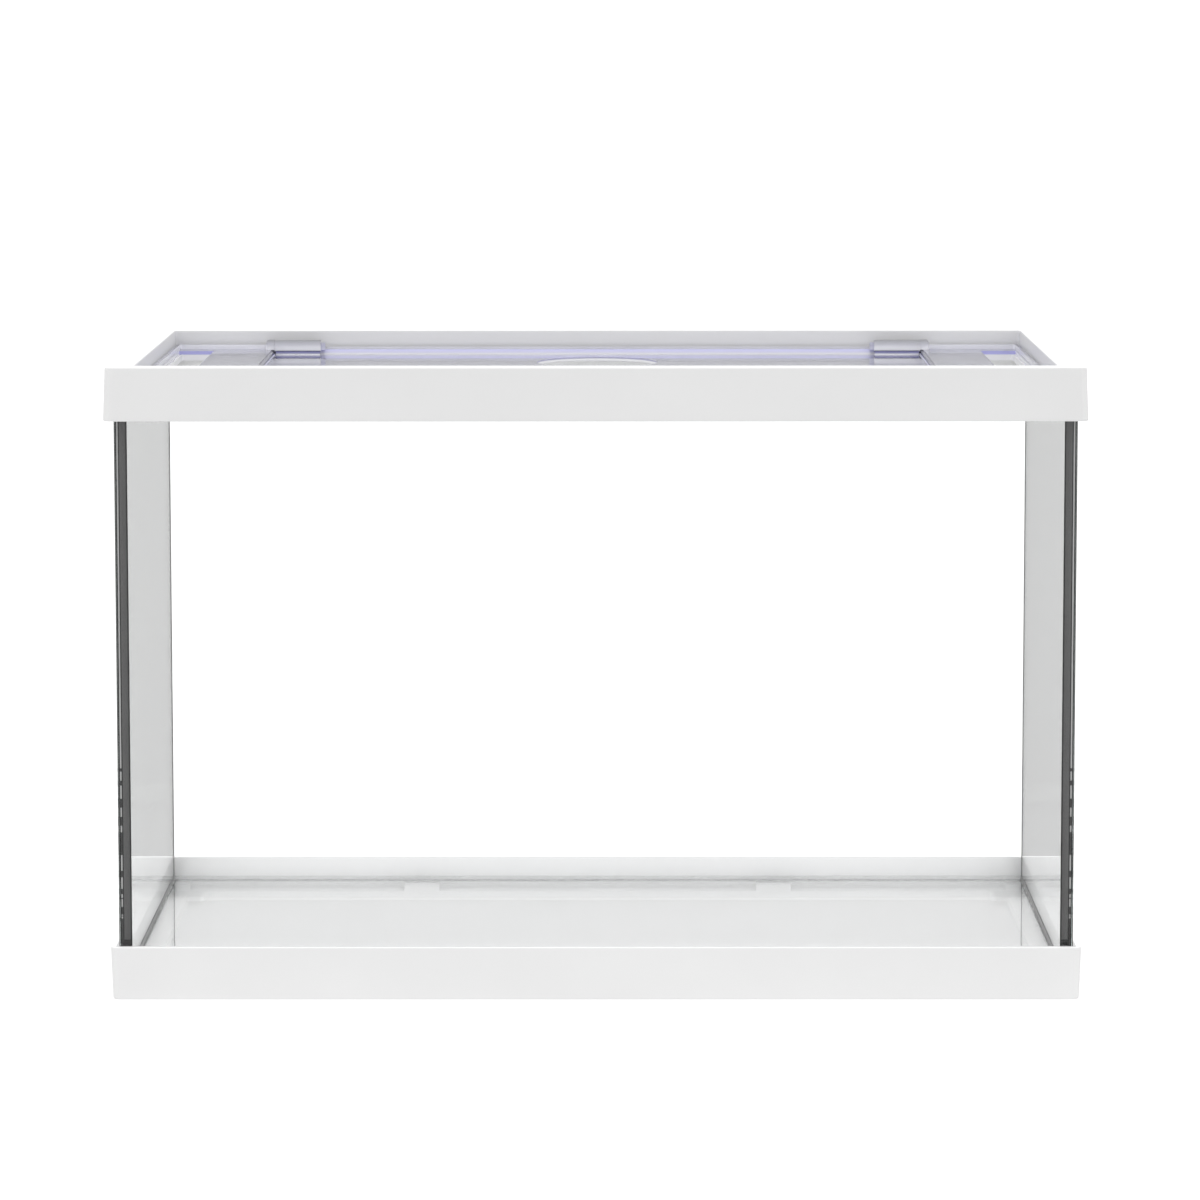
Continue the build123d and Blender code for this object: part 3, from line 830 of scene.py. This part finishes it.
flap_plate()
square_bar("flap_finger_tab", (-tab_half, flap_front, flap_level + seam),
           (tab_half, flap_front + tab_depth, tab_top), 0.4, lid_plastic)
hinge_barrel(-1, "left")
hinge_barrel(1, "right")


# Hinge pins: two short clear rods of the lid's plastic, one through each barrel. They are pressed into
# the ears at both ends and free to turn in the barrels.
for pin in ("left_hinge_pin", "right_hinge_pin"):
    dress(pin, lid_plastic)


# Table, light and camera: a plain pale table under a white studio light, which is brightest overhead.
# A mirror reflection meets a darker table and horizon than the eye does, and the table's tone is set
# darker under the tank.
table_half = 8.0
shaded_half_length, shaded_half_depth = 0.2, 0.101
shaded_tone, mirrored_tone, table_glow = 0.55, 0.42, 1.12
horizon, zenith, direct_white = 0.92, 1.45, 1.25
photo_width = 1200
focal_length, shift_across, shift_down = 4819.0, 9.0, 122.8
camera_place = 8.4 * mm, -2098.4 * mm, 437.4 * mm
camera_pitch, camera_yaw, camera_roll = 6.188, -0.082, -0.0236


def past_first(tree, path, kind):
    """1 where the light path has had at least one bounce of this kind."""
    return maths(tree, "GREATER_THAN", path.outputs[kind], 0.5)


def choose(tree, factor, off, on):
    """One of two numbers or values, by a factor of 0 or 1."""
    switch = add_node(tree, "ShaderNodeMix", data_type="FLOAT")
    link(tree, factor, switch.inputs["Factor"])
    for name, value in (("A", off), ("B", on)):
        if isinstance(value, float):
            switch.inputs[name].default_value = value
        else:
            link(tree, value, switch.inputs[name])
    return switch.outputs["Result"]


def studio_floor():
    """The eye sees lit paper, and soft light that has bounced sees an even glow in its place."""
    mesh = bpy.data.meshes.new("table_top")
    shape = bmesh.new()
    bmesh.ops.create_grid(shape, x_segments=8, y_segments=8, size=table_half)
    bmesh.ops.translate(shape, verts=shape.verts, vec=(0, 0, -0.1 * mm))
    shape.to_mesh(mesh)
    shape.free()
    table = bpy.data.objects.new("table_top", mesh)
    scene.collection.objects.link(table)
    material, tree, shader = new_material("table_paper", roughness=0.9)
    x, y = axes_of(tree, "Object")[:2]
    shaded = all_of(tree, below(tree, x, shaded_half_length), below(tree, y, shaded_half_depth))
    path = add_node(tree, "ShaderNodeLightPath")
    soft = past_first(tree, path, "Diffuse Depth")
    mirrored = all_of(tree, past_first(tree, path, "Glossy Depth"), maths(tree, "SUBTRACT", 1.0, shaded))
    lit = choose(tree, mirrored, choose(tree, shaded, 1.0, shaded_tone), mirrored_tone)
    link(tree, choose(tree, soft, lit, 0.0), shader.inputs["Base Color"])
    shader.inputs["Emission Color"].default_value = (1, 1, 1, 1)
    link(tree, choose(tree, soft, 0.0, table_glow), shader.inputs["Emission Strength"])
    shader.inputs["Specular IOR Level"].default_value = 0.0
    mesh.materials.append(material)


def studio_light():
    world = bpy.data.worlds.new("studio")
    scene.world = world
    world.use_nodes = True
    tree = world.node_tree
    path = add_node(tree, "ShaderNodeLightPath")
    rise = add_node(tree, "ShaderNodeMapRange")
    rise.inputs["To Min"].default_value = horizon
    rise.inputs["To Max"].default_value = zenith
    link(tree, axes_of(tree, "Generated")["Z"], rise.inputs["Value"])
    studio = rise.outputs["Result"]
    strength = choose(tree, past_first(tree, path, "Glossy Depth"), direct_white, studio)
    strength = choose(tree, past_first(tree, path, "Diffuse Depth"), strength, studio)
    link(tree, strength, tree.nodes["Background"].inputs["Strength"])
    tree.nodes["Background"].inputs["Color"].default_value = (1, 1, 1, 1)
    world.cycles.sampling_method = "NONE"


def studio_camera():
    """The photograph's viewpoint: straight on, 2 m away and a little above the rim."""
    pitch, yaw, roll = (math.radians(angle) for angle in (camera_pitch, camera_yaw, camera_roll))
    ahead = Vector((math.sin(yaw) * math.cos(pitch), math.cos(yaw) * math.cos(pitch), -math.sin(pitch)))
    right = Vector((math.cos(yaw), -math.sin(yaw), 0))
    up = right.cross(ahead)
    side = right * math.cos(roll) + up * math.sin(roll)
    top = up * math.cos(roll) - right * math.sin(roll)
    turn = Matrix((side, top, -ahead)).transposed()
    lens = bpy.data.cameras.new("photo_camera")
    lens.sensor_width = 36.0
    lens.lens = focal_length / photo_width * lens.sensor_width
    lens.shift_x = -shift_across / photo_width
    lens.shift_y = -shift_down / photo_width
    camera = bpy.data.objects.new("photo_camera", lens)
    camera.matrix_world = Matrix.Translation(camera_place) @ turn.to_4x4()
    scene.collection.objects.link(camera)
    scene.camera = camera


studio_floor()
studio_light()
studio_camera()
scene.view_settings.view_transform = "Standard"
scene.cycles.max_bounces = 32
scene.cycles.transmission_bounces = 32
scene.cycles.glossy_bounces = 12
scene.cycles.blur_glossy = 0.0
